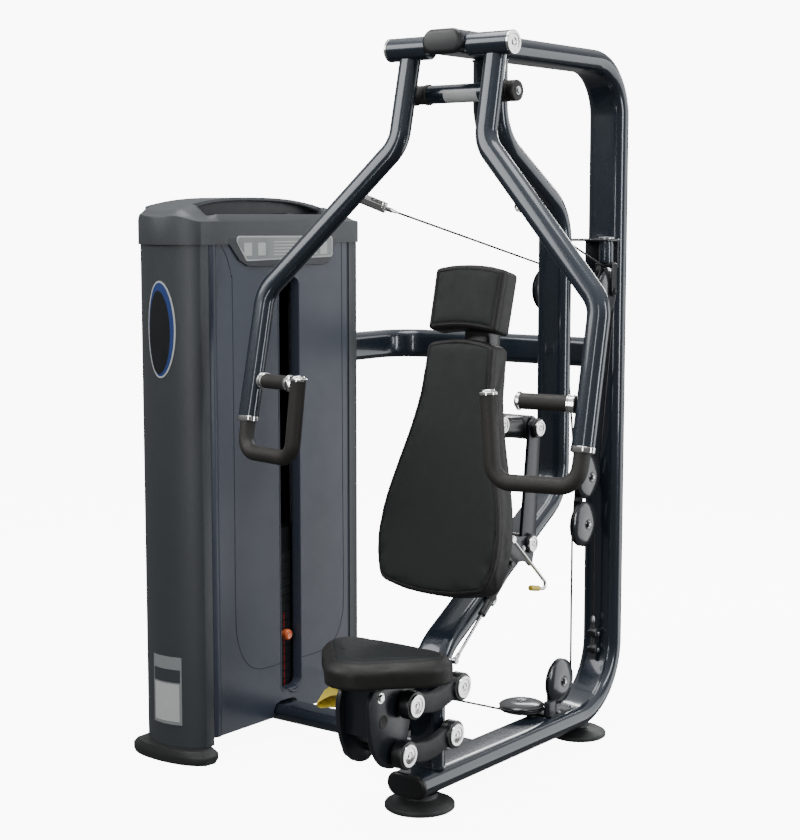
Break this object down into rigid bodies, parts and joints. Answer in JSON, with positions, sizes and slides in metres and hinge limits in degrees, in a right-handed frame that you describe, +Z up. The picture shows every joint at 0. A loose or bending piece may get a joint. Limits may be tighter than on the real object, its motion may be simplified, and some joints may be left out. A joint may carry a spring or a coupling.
{
  "type": "chest press machine",
  "caption": "Selectorised seated chest press: bent tube frame, two swinging press arms, cable and pulley drive to an enclosed weight stack, adjustable seat and back.",
  "frame": {"origin": "middle of the overall footprint, on the floor", "axes": "+Z up; the user sits facing -Y; the weight tower stands on the -X side, the user's right-hand side being -X when seated; left and right in names are as seen from in front of the machine"},
  "size_m": [1.513, 1.292, 1.9965],
  "materials": {
    "slate_paint": "gloss",
    "panel_paint": "satin",
    "shroud_plastic": "fine texture",
    "black_paint": "satin",
    "rubber": "matt",
    "chrome": "polished",
    "cast_iron": "matt paint",
    "vinyl": "soft satin",
    "yellow_plastic": "satin",
    "orange_plastic": "gloss",
    "pulley_plastic": "gloss",
    "cable_jacket": "satin"
  },
  "bodies": {
    "frame": {"base_rail": "slate_paint", "rear_column": "slate_paint", "top_beam": "slate_paint", "rail_end_cap": "black_paint", "beam_end_cap": "black_paint", "inner_column": "slate_paint", "upper_crossbar": "slate_paint", "lower_crossbar": "slate_paint", "front_foot": "rubber", "rear_foot": "rubber", "tower_base": "black_paint", "front_shroud": "shroud_plastic", "rear_shroud": "shroud_plastic", "user_panel": "panel_paint", "back_panel": "panel_paint", "top_cap": "shroud_plastic", "tower_crown": "black_paint", "guide_rod_front": "chrome", "guide_rod_rear": "chrome", "resting_plates": "cast_iron", "stop_bar": "slate_paint", "stop_bumper_left": "rubber", "stop_bumper_right": "rubber", "swivel_bracket": "black_paint", "pivot_shaft": "chrome", "rail_pulley_bracket": "black_paint", "cable_anchor": "black_paint", "arm_cable": "cable_jacket", "drive_cable": "cable_jacket"},
    "stack": {"lifted_plates": "cast_iron"},
    "pin": {"selector_pin": "orange_plastic"},
    "tower_wheel": {"tower_pulley": "pulley_plastic"},
    "left_arm": {"arm_left": "slate_paint", "handle_left": "rubber", "peg_left": "rubber"},
    "right_arm": {"arm_right": "slate_paint", "handle_right": "rubber", "peg_right": "rubber"},
    "left_swivel": {"swivel_yoke_left": "black_paint"},
    "right_swivel": {"swivel_yoke_right": "black_paint"},
    "left_swivel_wheel": {"swivel_pulley_left": "pulley_plastic"},
    "right_swivel_wheel": {"swivel_pulley_right": "pulley_plastic"},
    "block": {"pulley_block": "black_paint"},
    "block_upper_wheel": {"block_pulley_upper": "pulley_plastic"},
    "block_lower_wheel": {"block_pulley_lower": "pulley_plastic"},
    "turn_wheel": {"turn_pulley": "pulley_plastic"},
    "flat_wheel": {"flat_pulley": "pulley_plastic"},
    "upper_link": {"seat_upper_link": "black_paint"},
    "lower_link": {"seat_lower_link": "black_paint"},
    "carriage": {"seat_carriage": "panel_paint", "seat_pad": "vinyl"},
    "flap": {"seat_release": "yellow_plastic"},
    "rocker": {"back_rocker": "panel_paint"},
    "guide_rocker": {"front_rocker": "panel_paint"},
    "back_rest": {"back_frame": "black_paint", "back_pad": "vinyl", "head_pad": "vinyl"},
    "lever": {"back_release": "chrome"},
    "spring_rod": {"gas_spring_rod": "chrome"},
    "spring_tube": {"gas_spring_tube": "black_paint"}
  },
  "joints": [
    {"name": "stack_lift", "type": "slide", "parent": "frame", "child": "stack", "axis": [0, 0, 1], "range_m": [0, 0.54], "deforming": ["drive_cable"]},
    {"name": "pin_pull", "type": "slide", "parent": "stack", "child": "pin", "axis": [1, 0, 0], "range_m": [0, 0.05]},
    {"name": "left_arm_swing", "type": "hinge", "parent": "frame", "child": "left_arm", "pos_m": [0.2055, -0.181, 1.955], "axis": [-1, 0, 0], "range_deg": [0, 39.5]},
    {"name": "right_arm_swing", "type": "hinge", "parent": "frame", "child": "right_arm", "pos_m": [0.2055, -0.181, 1.955], "axis": [-1, 0, 0], "range_deg": [0, 39.5]},
    {"name": "block_lift", "type": "slide", "parent": "frame", "child": "block", "axis": [0, 0, 1], "range_m": [0, 0.275], "deforming": ["arm_cable"]},
    {"name": "tower_wheel_spin", "type": "hinge", "parent": "frame", "child": "tower_wheel", "pos_m": [-0.5845, 0.1035, 1.43], "axis": [1, 0, 0], "range_deg": [-303, 0]},
    {"name": "turn_wheel_spin", "type": "hinge", "parent": "frame", "child": "turn_wheel", "pos_m": [0.2055, 0.373, 0.1875], "axis": [1, 0, 0], "range_deg": [0, 510]},
    {"name": "flat_wheel_spin", "type": "hinge", "parent": "frame", "child": "flat_wheel", "pos_m": [0.143, 0.2705, 0.125], "axis": [0, 0, 1], "range_deg": [0, 510]},
    {"name": "block_lower_spin", "type": "hinge", "parent": "block", "child": "block_lower_wheel", "pos_m": [0.2055, 0.498, 0.632], "axis": [1, 0, 0], "range_deg": [-256, 0]},
    {"name": "block_upper_spin", "type": "hinge", "parent": "block", "child": "block_upper_wheel", "pos_m": [0.2055, 0.516, 0.77], "axis": [1, 0, 0], "continuous": true},
    {"name": "left_swivel_turn", "type": "hinge", "parent": "frame", "child": "left_swivel", "pos_m": [0.1105, 0.446, 1.318], "axis": [0, 0, 1], "range_deg": [0, 4]},
    {"name": "left_swivel_spin", "type": "hinge", "parent": "left_swivel", "child": "left_swivel_wheel", "pos_m": [0.1105, 0.446, 1.318], "axis": [0.9848, -0.1736, 0], "range_deg": [0, 256]},
    {"name": "right_swivel_turn", "type": "hinge", "parent": "frame", "child": "right_swivel", "pos_m": [0.3005, 0.446, 1.318], "axis": [0, 0, 1], "range_deg": [-4, 0]},
    {"name": "right_swivel_spin", "type": "hinge", "parent": "right_swivel", "child": "right_swivel_wheel", "pos_m": [0.3005, 0.446, 1.318], "axis": [0.9848, 0.1736, 0], "range_deg": [0, 256]},
    {"name": "seat_swing", "type": "hinge", "parent": "frame", "child": "upper_link", "pos_m": [0.2055, -0.246, 0.322], "axis": [1, 0, 0], "range_deg": [-26, 18]},
    {"name": "seat_guide_swing", "type": "hinge", "parent": "frame", "child": "lower_link", "pos_m": [0.2055, -0.277, 0.202], "axis": [1, 0, 0], "range_deg": [-26, 18]},
    {"name": "seat_level", "type": "hinge", "parent": "upper_link", "child": "carriage", "pos_m": [0.2055, -0.45, 0.318], "axis": [1, 0, 0], "range_deg": [-18, 26]},
    {"name": "flap_lift", "type": "hinge", "parent": "carriage", "child": "flap", "pos_m": [0.1475, -0.524, 0.345], "axis": [0, 1, 0], "range_deg": [0, 15], "stiffness_Nm_per_rad": 0.5, "springref_deg": -17.19},
    {"name": "back_swing", "type": "hinge", "parent": "frame", "child": "rocker", "pos_m": [0.2055, 0.102, 0.642], "axis": [1, 0, 0], "range_deg": [-6, 16]},
    {"name": "back_guide_swing", "type": "hinge", "parent": "frame", "child": "guide_rocker", "pos_m": [0.2055, -0.064, 0.516], "axis": [1, 0, 0], "range_deg": [-6, 16]},
    {"name": "back_level", "type": "hinge", "parent": "rocker", "child": "back_rest", "pos_m": [0.2055, 0.132, 0.956], "axis": [1, 0, 0], "range_deg": [-16, 6]},
    {"name": "lever_pull", "type": "hinge", "parent": "rocker", "child": "lever", "pos_m": [0.2955, -0.016, 0.673], "axis": [1, 0, 0], "range_deg": [0, 12], "stiffness_Nm_per_rad": 2, "springref_deg": -22.92},
    {"name": "spring_swing", "type": "hinge", "parent": "frame", "child": "spring_rod", "pos_m": [0.2885, -0.27, 0.394], "axis": [1, 0, 0], "range_deg": [-5.57, 2.23]},
    {"name": "spring_stroke", "type": "slide", "parent": "spring_rod", "child": "spring_tube", "axis": [0, 0.7747, 0.6323], "range_m": [-0.01254, 0.00501]}
  ],
  "couplings": [
    {"joint": "left_arm_swing", "follows": "stack_lift", "rad_per_m": 1.25},
    {"joint": "right_arm_swing", "follows": "stack_lift", "rad_per_m": 1.25},
    {"joint": "block_lift", "follows": "stack_lift", "ratio": 0.5},
    {"joint": "tower_wheel_spin", "follows": "stack_lift", "rad_per_m": -9.7087},
    {"joint": "turn_wheel_spin", "follows": "stack_lift", "rad_per_m": 16.393},
    {"joint": "flat_wheel_spin", "follows": "stack_lift", "rad_per_m": 16.393},
    {"joint": "block_lower_spin", "follows": "stack_lift", "rad_per_m": -8.1967},
    {"joint": "left_swivel_turn", "follows": "stack_lift", "rad_per_m": 0.1},
    {"joint": "left_swivel_spin", "follows": "stack_lift", "rad_per_m": 8.1967},
    {"joint": "right_swivel_turn", "follows": "stack_lift", "rad_per_m": -0.1},
    {"joint": "right_swivel_spin", "follows": "stack_lift", "rad_per_m": 8.1967},
    {"joint": "seat_guide_swing", "follows": "seat_swing", "ratio": 1},
    {"joint": "seat_level", "follows": "seat_swing", "ratio": -1},
    {"joint": "back_guide_swing", "follows": "back_swing", "ratio": 1},
    {"joint": "back_level", "follows": "back_swing", "ratio": -1},
    {"joint": "spring_swing", "follows": "back_swing", "ratio": -0.33362},
    {"joint": "spring_stroke", "follows": "back_swing", "m_per_rad": -0.04311}
  ]
}
